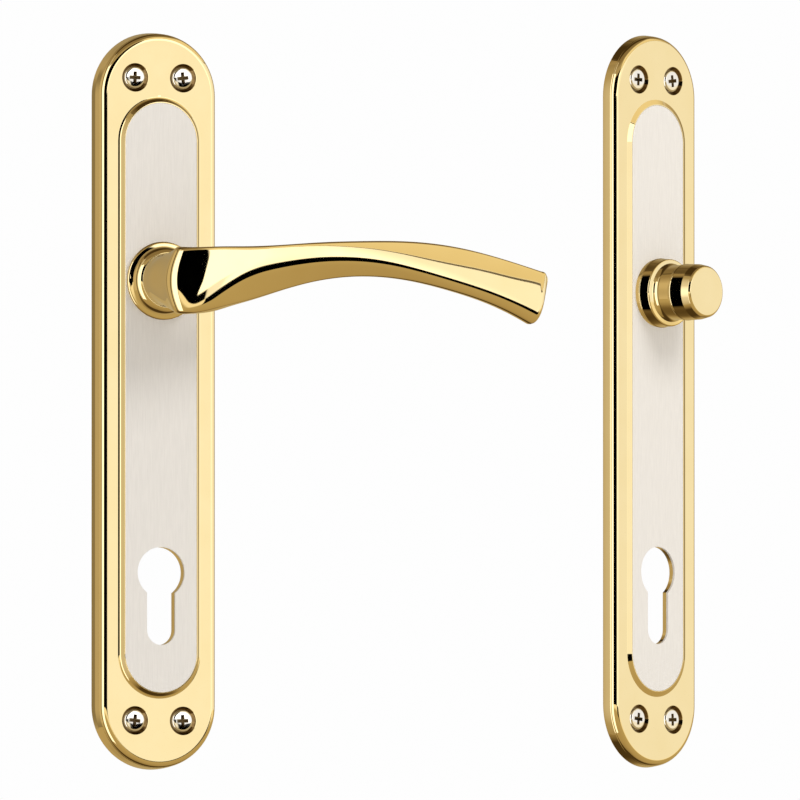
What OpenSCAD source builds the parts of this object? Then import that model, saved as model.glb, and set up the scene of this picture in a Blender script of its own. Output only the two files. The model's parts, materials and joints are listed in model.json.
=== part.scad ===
// Door handle set on long backplates, for a lock with a euro profile cylinder.
// The lever half stands at the origin: its spindle axis is the Y axis, the door face is the plane y = 0,
// +Z is up and the front looks along -Y. The knob half stands beside it, turned about its upright axis.
// Each half is drawn lying flat: x runs across the plate, y up the plate and z out of the door.
// In both halves the origin lies on the door face, on the axis of the lever or of the knob.

/* [Backplates] */
// Length of both backplates
plate_len = 250; // [244:1:262]
// Width of both backplates
plate_w = 43; // [42:0.5:46]
// Height of the lever plate's outer face above the door
lever_face_h = 8.4; // [8.2:0.1:9]
// Height of the knob plate's outer face above the door
knob_face_h = 5.4; // [5.2:0.1:6]
// Height of the raised land on the lever plate
lever_land_rise = 1.8; // [1.4:0.1:2.2]
// Height of the raised land on the knob plate
knob_land_rise = 0.8; // [0.8:0.1:1.2]

/* [Satin inlays] */
// Length of the satin inlays
panel_len = 200; // [190:1:202]
// Width of the satin inlays
panel_w = 26; // [25:0.5:27]
// Distance from the plate's middle up to the inlay's middle
panel_rise = 1; // [0:0.5:1.5]
// Thickness of the inlays
panel_t = 0.8; // [0.6:0.1:0.8]

/* [Euro profile cut-outs] */
// Distance from the plate's middle down to the cylinder's axis
cylinder_drop = 58.3; // [56:0.1:62]
// Radius of the round part
cut_r = 8.6; // [8.5:0.05:8.8]
// Width of the slot below it
cut_slot_w = 10.3; // [10.1:0.1:10.6]
// Height of the whole cut-out
cut_h = 33.2; // [33:0.1:33.8]

/* [Fixing screws] */
// Distance between the screws across the plate
screw_gap_x = 17.5; // [16:0.5:18]
// Distance between the upper and the lower screws
screw_gap_y = 218; // [216:1:220]
// Distance from the plate's middle up to the middle of the screws
screw_rise = 0.5; // [0:0.5:1]
// Length of screw standing out of the plate's back
screw_out = 7.6; // [5:0.1:12]

/* [Lever] */
// Distance from the plate's middle up to the lever's axis
lever_rise = 40.5; // [38:0.5:42]
// Length of the lever from its axis to its tip
lever_len = 131; // [120:1:140]
// Width of the square spindle
spindle_w = 8; // [7:0.5:8]
// Length of spindle standing out of the plate's back
spindle_out = 38; // [30:1:60]

/* [Knob] */
// Distance from the plate's middle up to the knob's axis
knob_rise = 36.8; // [34:0.1:42]
// Height of the knob's front above the door
knob_h = 28.6; // [26:0.1:34]
// Largest radius of the knob
knob_r = 9.8; // [9.4:0.1:10.4]

/* [Layout] */
// Distance between the two plates
knob_half_x = 182; // [120:1:240]
// Turn of the knob half about its upright axis
knob_half_turn = 25.5; // [0:0.5:45]
// Height of the knob plate's middle above the lever plate's middle
knob_half_lift = 2.4; // [0:0.1:5]

/* [Hidden] */
$fn = 64;
through = 60;

// plate edge, ribs and pocket
edge_r = 2.1;
wall_lean = 0.6;
wall_t = 2.4;
lever_roof_t = 1.8;
knob_roof_t = 1.6;
rib_t = 2;
rib_setback = 1.2;
rib_places = [92, 76, 4, -20, -42, -92];
land_lip = 0.3;
land_run = 2.1;
panel_gap = 0.05;
boss_r = 5.6;

lever_land_h = lever_face_h + lever_land_rise;
knob_land_h = knob_face_h + knob_land_rise;
lever_roof_h = lever_face_h - lever_roof_t;
knob_roof_h = knob_face_h - knob_roof_t;
lever_seat_h = lever_land_h - panel_t;
knob_seat_h = knob_land_h - panel_t;

// fixing screws: thread behind the plate, plain shank inside it
screw_r = 2;
shank_r = 1.5;
shank_out = 0.2;
screw_head_r = 3.7;
recess_r = 4.75;

// lever bearing, heights above the door
journal_r = 8;
bore_r = 9.05;
bush_h = 3.85;
bush_top = lever_land_h + 0.8;
web_h = 4.9;
web_r = 12;
collar_spigot_r = 10.5;
collar_spigot_h = lever_seat_h - 1;
neck_r = 8.85;
journal_end_h = 0.95;
flat_x = 6.8;
flat_top_h = 3.82;
socket_h = 25;
socket_play = 0.1;
grub_h = 20.5;
grub_r = 3;

// spring mechanism
clip_h = 1.4;
clip_t = 1;
shim_h = 2.42;
shim_t = 0.3;
driver_h = 2.75;
driver_t = 1.05;
driver_r = 11;
lug_w = 6;
lug_r = 17;
spring_r = 13.3;
wire_r = 0.5;
spring_low_h = driver_h + driver_t + wire_r + 0.05;
spring_high_h = lever_roof_h - wire_r - 0.05;
spring_turns = 1.5;
stop_r = 1.4;
stop_reach = 15;
stop_offset = lug_w / 2 + stop_r + 0.4;
lever_turn = 45;
stop_h = 2.2;
cover_h = 0.05;
cover_t = 0.7;
cover_r = 17.6;
cover_straight = 14;
cover_screw_y = 21;
cover_boss_r = 3.4;

// knob fixing
knob_neck_r = 8.9;
knob_screw_r = 2.5;
knob_washer_t = 0.6;
knob_spring_washer_t = 0.9;
pin_r = 1.25;
pin_x = 5.2;

gold = [0.86, 0.68, 0.35];
satin = [0.82, 0.80, 0.77];
steel = [0.62, 0.63, 0.66];
nylon = [0.93, 0.92, 0.88];

// ---------- helpers ----------

function arc(cx, cy, r, from, to, steps) =
    [for (i = [0:steps]) let (a = from + (to - from) * i / steps) [cx + r * cos(a), cy + r * sin(a)]];

function mirrored(points) = [for (i = [len(points) - 1:-1:0]) [-points[i][0], points[i][1]]];

// stands a flat-drawn lever half upright
module lever_half() {
    rotate([90, 0, 0]) children();
}

// stands a flat-drawn knob half upright beside the lever half
module knob_half() {
    translate([knob_half_x, 0, knob_rise - lever_rise + knob_half_lift])
        rotate([0, 0, knob_half_turn])
            rotate([90, 0, 0]) children();
}

// a solid of stadium outline whose rim follows an outline of radius and height
module stadium(outline, straight) {
    for (side = [-1, 1])
        translate([0, side * straight / 2, 0]) rotate_extrude() polygon(outline);
    rotate([90, 0, 0]) linear_extrude(straight, center = true)
        polygon(concat(outline, mirrored(outline)));
}

module tube(outer_r, inner_r, low, height) {
    translate([0, 0, low]) difference() {
        cylinder(r = outer_r, h = height);
        translate([0, 0, -1]) cylinder(r = inner_r, h = height + 2);
    }
}

// ---------- backplates ----------

function box_outline(r, low, high) = [[0, low], [r, low], [r, high], [0, high]];

// side wall with a slight belly, a crease, then a quarter round up to the face
function plate_outline(r, face_h) = concat(
    [[0, 0], [r, 0], [r - 0.15, (face_h - edge_r) / 2], [r - 0.45, face_h - edge_r + 0.2]],
    arc(r - wall_lean - edge_r, face_h - edge_r, edge_r, 10, 90, 6),
    [[0, face_h]]);

// raised land with a hollow flank
function land_outline(r, face_h, rise) =
    let (swing = 2 * atan(rise / land_run), flank_r = land_run / sin(swing))
    concat([[0, face_h - 1], [r + land_run, face_h - 1]],
        arc(r + land_run, face_h + flank_r, flank_r, 270, 270 - swing, 6),
        [[0, face_h + rise]]);

module euro_cutout() {
    slot_r = cut_slot_w / 2;
    slot_drop = cut_h - cut_r - slot_r;
    translate([0, 0, -1]) {
        cylinder(r = cut_r, h = through);
        translate([0, -slot_drop, 0]) cylinder(r = slot_r, h = through);
        translate([-slot_r, -slot_drop, 0]) cube([cut_slot_w, slot_drop, through]);
    }
}

module at_screws() {
    for (sx = [-1, 1], sy = [-1, 1])
        translate([sx * screw_gap_x / 2, screw_rise + sy * screw_gap_y / 2, 0]) children();
}

module screw_hole(face_h) {
    hole_r = screw_r + 0.25;
    rim_r = screw_head_r + 0.15;
    rotate_extrude() polygon([[0, -1], [hole_r, -1], [hole_r, face_h - 1.15 - (rim_r - hole_r)],
        [rim_r, face_h - 1.15], [recess_r, face_h - 0.1], [recess_r, face_h + 1], [0, face_h + 1]]);
}

// the casting of either half, with its middle at the origin
module backplate(face_h, land_rise, roof_h, seat_h) {
    straight = plate_len - plate_w;
    land_r = panel_w / 2 + land_lip;
    difference() {
        union() {
            difference() {
                union() {
                    stadium(plate_outline(plate_w / 2, face_h), straight);
                    translate([0, panel_rise, 0])
                        stadium(land_outline(land_r, face_h, land_rise), panel_len - panel_w);
                }
                stadium(box_outline(plate_w / 2 - wall_t, -1, roof_h), straight);
            }
            at_screws() cylinder(r = boss_r, h = roof_h + 0.5);
            for (y = rib_places)
                translate([-plate_w / 2 + wall_t / 2, y - rib_t / 2, rib_setback])
                    cube([plate_w - wall_t, rib_t, roof_h - rib_setback + 0.5]);
        }
        translate([0, panel_rise, 0])
            stadium(box_outline(panel_w / 2 + panel_gap, seat_h, seat_h + 5), panel_len - panel_w);
        translate([0, -cylinder_drop, 0]) euro_cutout();
        at_screws() screw_hole(face_h);
    }
}

module lever_plate() {
    color(gold) lever_half() difference() {
        union() {
            translate([0, -lever_rise, 0])
                backplate(lever_face_h, lever_land_rise, lever_roof_h, lever_seat_h);
            translate([0, 0, web_h]) cylinder(r = web_r, h = lever_seat_h - web_h);
            for (side = [-1, 1]) translate([0, side * cover_screw_y, cover_h + cover_t])
                cylinder(r = cover_boss_r, h = lever_roof_h - cover_t);
            for (spot = stop_places()) translate([spot[0], spot[1], stop_h])
                cylinder(r = stop_r, h = lever_roof_h - stop_h + 0.5);
        }
        translate([0, 0, -1]) cylinder(r = bore_r, h = through);
        translate([0, 0, collar_spigot_h]) cylinder(r = collar_spigot_r + 0.02, h = through);
        for (side = [-1, 1]) translate([0, side * cover_screw_y, 0]) cover_screw_shape(0.02);
        translate([0, -spring_r, 0]) cylinder(r = wire_r + 0.05, h = lever_roof_h + 1.2);
    }
}

module knob_plate() {
    color(gold) knob_half() difference() {
        translate([0, -knob_rise, 0])
            backplate(knob_face_h, knob_land_rise, knob_roof_h, knob_seat_h);
        translate([0, 0, -1]) cylinder(r = knob_screw_r + 0.2, h = through);
        translate([pin_x, 0, -1]) cylinder(r = pin_r + 0.02, h = through);
    }
}

// ---------- satin inlays ----------

module panel(rise, seat_h, hole_r) {
    difference() {
        translate([0, panel_rise - rise, 0])
            stadium(box_outline(panel_w / 2, seat_h, seat_h + panel_t), panel_len - panel_w);
        translate([0, 0, -1]) cylinder(r = hole_r, h = through);
        translate([0, -rise - cylinder_drop, 0]) euro_cutout();
    }
}

module lever_panel() {
    color(satin) lever_half() panel(lever_rise, lever_seat_h, collar_spigot_r + 0.1);
}

module knob_panel() {
    color(satin) knob_half() panel(knob_rise, knob_seat_h, knob_neck_r + 0.3);
}

// ---------- fixing screws ----------

module cross_recess(across, depth) {
    for (turn = [0, 90]) rotate([90, 0, turn])
        linear_extrude(across * 0.21, center = true)
            polygon([[-across / 2, 1], [-across / 2, 0], [-across / 5, -depth],
                [across / 5, -depth], [across / 2, 0], [across / 2, 1]]);
}

// raised countersunk screw, its head's rim just below the plate's face
module plate_screw(face_h) {
    rim_h = face_h - 1.2;
    neck_h = rim_h - 0.08 - (screw_head_r - shank_r);
    dome_rise = 1;
    dome_r = (screw_head_r * screw_head_r + dome_rise * dome_rise) / (2 * dome_rise);
    dome_swing = asin(screw_head_r / dome_r);
    difference() {
        rotate_extrude() polygon(concat(
            [[0, -screw_out], [screw_r, 2.4 - screw_out], [screw_r, -shank_out],
                [shank_r, -shank_out], [shank_r, neck_h], [screw_head_r, rim_h - 0.08]],
            arc(0, rim_h + dome_rise - dome_r, dome_r, 90 - dome_swing, 90, 6)));
        translate([0, 0, rim_h + 0.75]) cross_recess(5, 2);
    }
}

module lever_plate_screws() {
    color(gold) lever_half() translate([0, -lever_rise, 0]) at_screws() plate_screw(lever_face_h);
}

module knob_plate_screws() {
    color(gold) knob_half() translate([0, -knob_rise, 0]) at_screws() plate_screw(knob_face_h);
}

// ---------- lever and its bearing ----------

// stepped ring: a flange that flares outwards, then a domed shoulder round the neck
module lever_collar() {
    top = lever_land_h;
    color(gold) lever_half() rotate_extrude() polygon(concat(
        [[bore_r, collar_spigot_h], [collar_spigot_r, collar_spigot_h], [collar_spigot_r, top]],
        [[12.5, top], [13.15, top + 1.5]],
        arc(12.75, top + 2.1, 0.5, 0, 80, 4),
        arc(7.9, top + 3.1, 3.5, 0, 65, 8),
        [[bore_r, top + 6.2]]));
}

module lever_bush() {
    color(nylon) lever_half() {
        tube(bore_r - 0.02, journal_r + 0.04, bush_h, bush_top - bush_h);
        tube(11.3, journal_r + 0.5, bush_h, web_h - bush_h - 0.03);
    }
}

// Stations along the lever's skin, from the collar through the head to the tip. Each holds the outer
// edge [x, z], the inner edge [x, z], the top and the bottom in y, the roundness and the lean.
stations = [
    [[-neck_r, 12.6], [neck_r, 12.6], neck_r, -neck_r, 2, 0],
    [[-neck_r, 17.6], [neck_r, 17.4], neck_r, -neck_r, 2, 0],
    [[-9.4, 29], [9.5, 25], 10.2, -11.3, 2.1, 0],
    [[-9.8, 37], [10.4, 29.6], 10.6, -12.1, 2.3, 0],
    [[-9.5, 41.4], [12, 32.4], 10.5, -12.3, 2.4, 0],
    [[-6.8, 43.9], [14.2, 34], 10.3, -12.3, 2.5, 0],
    [[-2, 45.4], [17, 34.8], 10.3, -11.8, 2.6, 0],
    [[5, 45.9], [21, 35.1], 10.6, -10, 2.6, 0],
    [[14.5, 45.6], [26, 35.1], 10.8, -7.6, 2.6, 0],
    [[28, 44.7], [35, 34.7], 11.4, -4, 2.6, 0],
    [[44, 43.5], [47, 34.1], 12.6, -0.4, 2.6, 0.02],
    [[62, 42.3], [62, 33.6], 13.4, 1.4, 2.6, 0.06],
    [[80.5, 41], [79.5, 32.6], 13.5, 0.2, 2.6, 0.13],
    [[98, 39.7], [96, 31.8], 11.8, -3.6, 2.7, 0.22],
    [[112.2, 38.4], [109.8, 30.9], 8.8, -8.1, 2.9, 0.3],
    [[123, 37.3], [120.4, 30.2], 5.8, -12.2, 3.1, 0.34],
    [[128.2, 36.6], [125.6, 29.8], 4.4, -14, 3.2, 0.34]];
lever_nominal_len = 131;
station_steps = 2;
section_points = 24;
tip_rings = [[0.8, 0.97], [1.4, 0.9], [1.8, 0.78]];

// smooth curve through a list of values, u counting stations
function pick(list, i) = list[max(0, min(len(list) - 1, i))];
function smooth(list, u) =
    let (i = min(floor(u), len(list) - 2), t = u - i,
        a = pick(list, i - 1), b = list[i], c = list[i + 1], d = pick(list, i + 2))
    b + 0.5 * t * (c - a + t * (2 * a - 5 * b + 4 * c - d + t * (3 * (b - c) + d - a)));

function station_at(u) = [for (k = [0:5]) smooth([for (s = stations) s[k]], u)];

function signed_power(v, p) = sign(v) * pow(abs(v), p);

// stretches the grip beyond the head to the wanted length
function stretched(x) = x < 20 ? x : 20 + (x - 20) * (lever_len - 20) / (lever_nominal_len - 20);

function section(s, grow = 1, shift = 0) =
    let (mid = (s[0] + s[1]) / 2, half = (s[0] - s[1]) / 2 * grow,
        y_mid = (s[2] + s[3]) / 2, y_half = (s[2] - s[3]) / 2 * grow)
    [for (i = [0:section_points - 1])
        let (a = 360 * i / section_points, c = signed_power(cos(a), 2 / s[4]),
            y = y_half * signed_power(sin(a), 2 / s[4]))
        [stretched(mid[0] + half[0] * c + s[5] * y + shift), y_mid + y, mid[1] + half[1] * c]];

// skin over a row of rings, closed by a flat cap at each end
module skin(rings) {
    n = len(rings[0]);
    last = len(rings) - 1;
    sides = [for (r = [0:last - 1], i = [0:n - 1])
        let (a = r * n + i, b = r * n + (i + 1) % n) each [[a, b, b + n], [a, b + n, a + n]]];
    points = [for (ring = rings) each ring];
    polyhedron(points, concat(sides, [[for (i = [n - 1:-1:0]) i], [for (i = [0:n - 1]) last * n + i]]));
}

module lever_skin() {
    last = len(stations) - 1;
    body = [for (k = [0:last * station_steps]) section(station_at(k / station_steps))];
    tip = [for (t = tip_rings) section(stations[last], t[1], t[0])];
    skin(concat(body, tip));
}

module lever() {
    socket = spindle_w + socket_play;
    color(gold) lever_half() difference() {
        union() {
            lever_skin();
            translate([0, 0, bush_top + 0.05]) cylinder(r = neck_r - 0.15, h = 3);
            translate([0, 0, journal_end_h]) cylinder(r = journal_r, h = 14);
        }
        translate([-socket / 2, -socket / 2, 0]) cube([socket, socket, socket_h]);
        translate([0, 0, grub_h]) rotate([90, 0, 0]) cylinder(r = grub_r + 0.02, h = 20);
        tube(journal_r + 1, journal_r - 0.4, clip_h - 0.05, clip_t + 0.1);
        for (side = [-1, 1]) translate([side * (flat_x + 2) - 2, -journal_r, 0])
            cube([4, 2 * journal_r, flat_top_h]);
    }
}

module spindle() {
    half = spindle_w / 2;
    bevel = 0.5;
    color(steel) lever_half() translate([0, 0, -spindle_out])
        linear_extrude(spindle_out + socket_h - 1)
            polygon([for (turn = [0:90:270], p = [[half, -half + bevel], [half, half - bevel]])
                [p[0] * cos(turn) - p[1] * sin(turn), p[0] * sin(turn) + p[1] * cos(turn)]]);
}

module grub_screw() {
    length = 5;
    start = (spindle_w + socket_play) / 2;
    color(steel) lever_half() translate([0, -start, grub_h]) rotate([90, 0, 0]) difference() {
        cylinder(r = grub_r, h = length);
        translate([0, 0, length - 2.5]) cylinder(r = 1.73, h = 3, $fn = 6);
    }
}

// ---------- spring mechanism ----------

// the two stops, one beside the lug at rest and one beside it at full turn
function stop_places() = [
    [-stop_offset, stop_reach],
    [stop_reach * sin(lever_turn) + stop_offset * cos(lever_turn),
        stop_reach * cos(lever_turn) - stop_offset * sin(lever_turn)]];

module spring_driver() {
    play = 0.03;
    color(steel) lever_half() translate([0, 0, driver_h]) difference() {
        union() {
            cylinder(r = driver_r, h = driver_t);
            translate([-lug_w / 2, 0, 0]) cube([lug_w, lug_r, driver_t]);
        }
        intersection() {
            translate([0, 0, -1]) cylinder(r = journal_r + play, h = driver_t + 2);
            translate([-flat_x - play, -journal_r - 1, -1])
                cube([2 * (flat_x + play), 2 * journal_r + 2, driver_t + 2]);
        }
        translate([0, spring_r, -1]) cylinder(r = wire_r + 0.1, h = driver_t + 2);
    }
}

// torsion spring: its low leg drops into the driver's lug and its high leg into the plate
module return_spring() {
    wire_points = 8;
    steps = 36;
    rings = [for (k = [0:steps])
        let (part = k / steps, swing = 90 - 360 * spring_turns * part,
            z = spring_low_h + (spring_high_h - spring_low_h) * part)
        [for (i = [0:wire_points - 1])
            let (a = -360 * i / wire_points, r = spring_r + wire_r * cos(a))
            [r * cos(swing), r * sin(swing), z + wire_r * sin(a)]]];
    color(steel) lever_half() {
        skin(rings);
        translate([0, spring_r, driver_h]) cylinder(r = wire_r, h = spring_low_h - driver_h);
        translate([0, -spring_r, spring_high_h])
            cylinder(r = wire_r, h = lever_roof_h + 1 - spring_high_h);
    }
}

module shim_washer() {
    color(steel) lever_half() tube(10.5, journal_r + 0.05, shim_h, shim_t);
}

// retaining ring with two drilled ears at its gap
module circlip() {
    ear_turn = 24;
    ear_reach = 10.2;
    color(steel) lever_half() translate([0, 0, clip_h]) difference() {
        union() {
            cylinder(r = 9.3, h = clip_t);
            for (side = [-1, 1]) rotate([0, 0, side * ear_turn - 90]) translate([ear_reach, 0, 0])
                cylinder(r = 2, h = clip_t);
        }
        translate([0, 0, -1]) cylinder(r = journal_r - 0.38, h = clip_t + 2);
        translate([-2.6, -14, -1]) cube([5.2, 14, clip_t + 2]);
        for (side = [-1, 1]) rotate([0, 0, side * ear_turn - 90]) translate([ear_reach, 0, -1])
            cylinder(r = 0.75, h = clip_t + 2);
    }
}

module cover_screw_shape(play) {
    translate([0, 0, cover_h + 0.05]) cylinder(r1 = 2.75 + play, r2 = 1.5 + play, h = 1.25);
    translate([0, 0, cover_h]) cylinder(r = 1.5 + play, h = 5.5 + play);
}

module spring_cover() {
    color(steel) lever_half() difference() {
        stadium(box_outline(cover_r, cover_h, cover_h + cover_t), cover_straight);
        translate([0, 0, -1]) cylinder(r = 6.6, h = 5);
        for (side = [-1, 1]) translate([0, side * cover_screw_y, cover_h - 0.1])
            cylinder(r1 = 3.05, r2 = 2.15, h = cover_t + 0.2);
    }
}

module cover_screws() {
    color(steel) lever_half() for (side = [-1, 1]) translate([0, side * cover_screw_y, 0])
        difference() {
            cover_screw_shape(0);
            translate([0, 0, cover_h + 0.05]) rotate([180, 0, 0]) cross_recess(3, 0.9);
        }
}

// ---------- knob and its fixing ----------

// drum whose foot flares outwards, with a rounded shoulder round the knob's neck
module knob_collar() {
    top = knob_land_h;
    bore = knob_neck_r + 0.1;
    color(gold) knob_half() rotate_extrude() polygon(concat(
        [[bore, top], [11.4, top], [11.85, top + 2.5], [11.7, top + 2.9]],
        arc(10.6, top + 5.3, 0.7, 0, 80, 5),
        [[bore, top + 6.1]]));
}

// neck that widens to a rim, a straight side and a slightly crowned front
module knob() {
    base = knob_seat_h;
    rim_h = knob_h - 9;
    color(gold) knob_half() difference() {
        rotate_extrude() polygon(concat(
            [[0, base], [knob_neck_r, base], [knob_neck_r, base + 6.8], [knob_r - 0.35, rim_h - 0.6]],
            arc(knob_r - 0.5, rim_h, 0.5, -40, 40, 4),
            [[knob_r - 0.18, rim_h + 1.2], [knob_r - 0.25, rim_h + 5.4]],
            arc(knob_r - 1.29, knob_h - 0.95, 0.35, 13, 80, 4),
            [[0, knob_h]]));
        translate([0, 0, base - 1]) cylinder(r = knob_screw_r + 0.02, h = 14);
        translate([pin_x, 0, base - 1]) cylinder(r = pin_r + 0.02, h = 4.2);
    }
}

module knob_screw() {
    head_h = knob_roof_h - knob_washer_t - knob_spring_washer_t;
    head_t = 2.1;
    color(steel) knob_half() difference() {
        union() {
            translate([0, 0, head_h]) cylinder(r = knob_screw_r, h = 14);
            translate([0, 0, head_h - head_t]) cylinder(r1 = 3.8, r2 = 4.6, h = head_t * 0.4);
            translate([0, 0, head_h - head_t * 0.6]) cylinder(r = 4.6, h = head_t * 0.6);
        }
        translate([0, 0, head_h - head_t]) rotate([180, 0, 0]) cross_recess(4, 1.4);
    }
}

module knob_washer() {
    color(steel) knob_half()
        tube(6, knob_screw_r + 0.15, knob_roof_h - knob_washer_t, knob_washer_t);
}

module knob_spring_washer() {
    color(steel) knob_half() difference() {
        tube(4.4, knob_screw_r + 0.1, knob_roof_h - knob_washer_t - knob_spring_washer_t,
            knob_spring_washer_t);
        rotate([0, 0, 35]) translate([2, -0.25, 0]) cube([4, 0.5, 10]);
    }
}

module knob_pin() {
    color(steel) knob_half() translate([pin_x, 0, knob_roof_h + 0.05]) cylinder(r = pin_r, h = 4.2);
}

lever_plate();
lever_panel();
lever_collar();
lever_bush();
lever();
spindle();
grub_screw();
spring_driver();
return_spring();
shim_washer();
circlip();
spring_cover();
cover_screws();
lever_plate_screws();
knob_plate();
knob_panel();
knob_collar();
knob();
knob_screw();
knob_washer();
knob_spring_washer();
knob_pin();
knob_plate_screws();
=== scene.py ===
"""Looks of the backplate handle set: smooth polished shapes, materials, studio and camera.

Each half is drawn lying flat in millimetres, as in the part: x runs across the plate, y up the plate and h
out of the door, with the origin on the door face at the axis of the lever or of the knob. The halves are then
stood up.
"""

import json
import math

import bmesh
import bpy
import numpy as np
from mathutils import Matrix, Vector

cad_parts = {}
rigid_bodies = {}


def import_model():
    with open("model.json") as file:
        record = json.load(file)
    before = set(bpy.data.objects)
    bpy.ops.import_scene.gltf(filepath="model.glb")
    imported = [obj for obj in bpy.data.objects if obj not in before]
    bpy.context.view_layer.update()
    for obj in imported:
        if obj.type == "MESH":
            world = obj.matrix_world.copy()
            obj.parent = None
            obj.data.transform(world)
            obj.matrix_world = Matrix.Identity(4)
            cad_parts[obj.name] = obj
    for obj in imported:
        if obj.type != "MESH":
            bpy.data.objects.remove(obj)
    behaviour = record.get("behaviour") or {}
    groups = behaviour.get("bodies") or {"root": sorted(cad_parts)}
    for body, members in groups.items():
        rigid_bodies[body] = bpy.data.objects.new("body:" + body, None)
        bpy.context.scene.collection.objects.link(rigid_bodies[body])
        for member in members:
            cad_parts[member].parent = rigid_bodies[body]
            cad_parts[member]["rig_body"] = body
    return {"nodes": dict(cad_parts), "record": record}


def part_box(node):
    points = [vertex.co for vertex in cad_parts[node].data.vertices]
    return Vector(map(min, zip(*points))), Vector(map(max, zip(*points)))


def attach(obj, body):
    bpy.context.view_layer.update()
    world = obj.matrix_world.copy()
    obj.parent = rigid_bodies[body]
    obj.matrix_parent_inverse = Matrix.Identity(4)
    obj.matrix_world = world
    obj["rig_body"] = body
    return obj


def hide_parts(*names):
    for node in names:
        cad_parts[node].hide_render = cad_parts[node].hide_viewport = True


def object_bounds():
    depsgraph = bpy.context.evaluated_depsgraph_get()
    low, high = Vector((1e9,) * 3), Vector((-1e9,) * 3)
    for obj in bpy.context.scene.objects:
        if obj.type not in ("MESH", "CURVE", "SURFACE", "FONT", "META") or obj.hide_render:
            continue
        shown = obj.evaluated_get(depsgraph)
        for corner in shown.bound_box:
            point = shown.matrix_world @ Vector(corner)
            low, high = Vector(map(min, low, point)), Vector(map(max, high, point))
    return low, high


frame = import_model()
size_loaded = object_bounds()
scene = bpy.context.scene
cad = frame["nodes"]

# ---------- where the two halves stand ----------


def standing(origin, turn):
    """Matrix from a half's flat drawing, in millimetres, to the row frame, in metres."""
    return (Matrix.Translation(origin) @ Matrix.Rotation(turn, 4, "Z")
            @ Matrix.Rotation(math.pi / 2, 4, "X") @ Matrix.Scale(0.001, 4))


def knob_half_place():
    """The knob half's matrix, from the axis of its back face and the middle of its washer."""
    back = next(m for m in frame["record"]["mounts"] if m["name"] == "knob_plate_back")
    inward = Vector(back["axis"])
    low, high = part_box("knob_washer")
    washer = (low + high) / 2
    depth = (washer - Vector(back["pos_m"])).dot(inward)
    return standing(washer - inward * depth, math.atan2(-inward.x, inward.y))


def flat_box(half, node):
    """Lowest and highest corner of a CAD node in its half's flat drawing."""
    flatten = half.inverted()
    points = np.array([flatten @ v.co for v in cad[node].data.vertices])
    return points.min(0), points.max(0)


LEVER_HALF = standing(Vector((0, 0, 0)), 0)
KNOB_HALF = knob_half_place()

# ---------- mesh helpers ----------


def rounded(corners, steps=5):
    """Outline through corners (r, h, fillet radius), with each fillet drawn as an arc."""
    points = []
    for i, (r, h, fillet) in enumerate(corners):
        here = Vector((r, h))
        if not fillet:
            points.append(here)
            continue
        before = (Vector(corners[i - 1][:2]) - here).normalized()
        after = (Vector(corners[(i + 1) % len(corners)][:2]) - here).normalized()
        half = before.angle(after) / 2
        centre = here + (before + after).normalized() * fillet / math.sin(half)
        reach = fillet / math.tan(half)
        start = here + before * reach - centre
        swing = start.angle_signed(here + after * reach - centre)
        points += [centre + Matrix.Rotation(-swing * k / steps, 2) @ start for k in range(steps + 1)]
    return points


def stadium_ring(r, h, straight, steps):
    """Points at height h on a stadium of radius r round a line of length straight."""
    if not straight:
        turns = [math.pi * k / steps for k in range(2 * steps)]
        return [(r * math.cos(a), r * math.sin(a), h) for a in turns]
    side_steps = 40
    points = []
    for end in (1, -1):
        turns = [math.pi * k / steps for k in range(steps + 1)]
        points += [(end * r * math.cos(a), end * (straight / 2 + r * math.sin(a)), h) for a in turns]
        places = [straight * (0.5 - k / side_steps) for k in range(1, side_steps)]
        points += [(-end * r, end * y, h) for y in places]
    return points


def loft(rings, closed=False):
    """Mesh object with a skin over rings of equal length, closed into a ring or by a cap at each end."""
    shell = bmesh.new()
    rows = [[shell.verts.new(p) for p in ring] for ring in rings]
    count = len(rings[0])
    pairs = list(zip(rows, rows[1:] + rows[:1] if closed else rows[1:]))
    for low, high in pairs:
        for i in range(count):
            j = (i + 1) % count
            shell.faces.new((low[i], low[j], high[j], high[i]))
    if not closed:
        for row in (rows[0], rows[-1]):
            if (row[0].co - row[count // 2].co).length > 1e-6:
                shell.faces.new(row)
    bmesh.ops.remove_doubles(shell, verts=shell.verts, dist=1e-6)
    bmesh.ops.recalc_face_normals(shell, faces=shell.faces)
    mesh = bpy.data.meshes.new("shell")
    shell.to_mesh(mesh)
    shell.free()
    obj = bpy.data.objects.new("shell", mesh)
    scene.collection.objects.link(obj)
    return obj


def turned(outline, straight=0, steps=48, closed=False, at=(0, 0)):
    """Solid turned from an outline of (r, h) points, or drawn out to a stadium."""
    obj = loft([stadium_ring(p[0], p[1], straight, steps) for p in outline], closed)
    obj.data.transform(Matrix.Translation((at[0], at[1], 0)))
    return obj


def prism(outline, low, high):
    """Upright prism over an outline of (x, y) points."""
    return loft([[(x, y, h) for x, y in outline] for h in (low, high)])


def block(low, high):
    """Box between two corners."""
    outline = [(low[0], low[1]), (high[0], low[1]), (high[0], high[1]), (low[0], high[1])]
    return prism(outline, low[2], high[2])


def weld(mesh, nearest=0.002):
    """Joins points that a boolean left almost on top of each other, so that the solid stays closed."""
    shell = bmesh.new()
    shell.from_mesh(mesh)
    bmesh.ops.remove_doubles(shell, verts=shell.verts, dist=nearest)
    bmesh.ops.dissolve_degenerate(shell, edges=shell.edges, dist=nearest / 2)
    shell.to_mesh(mesh)
    shell.free()


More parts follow.
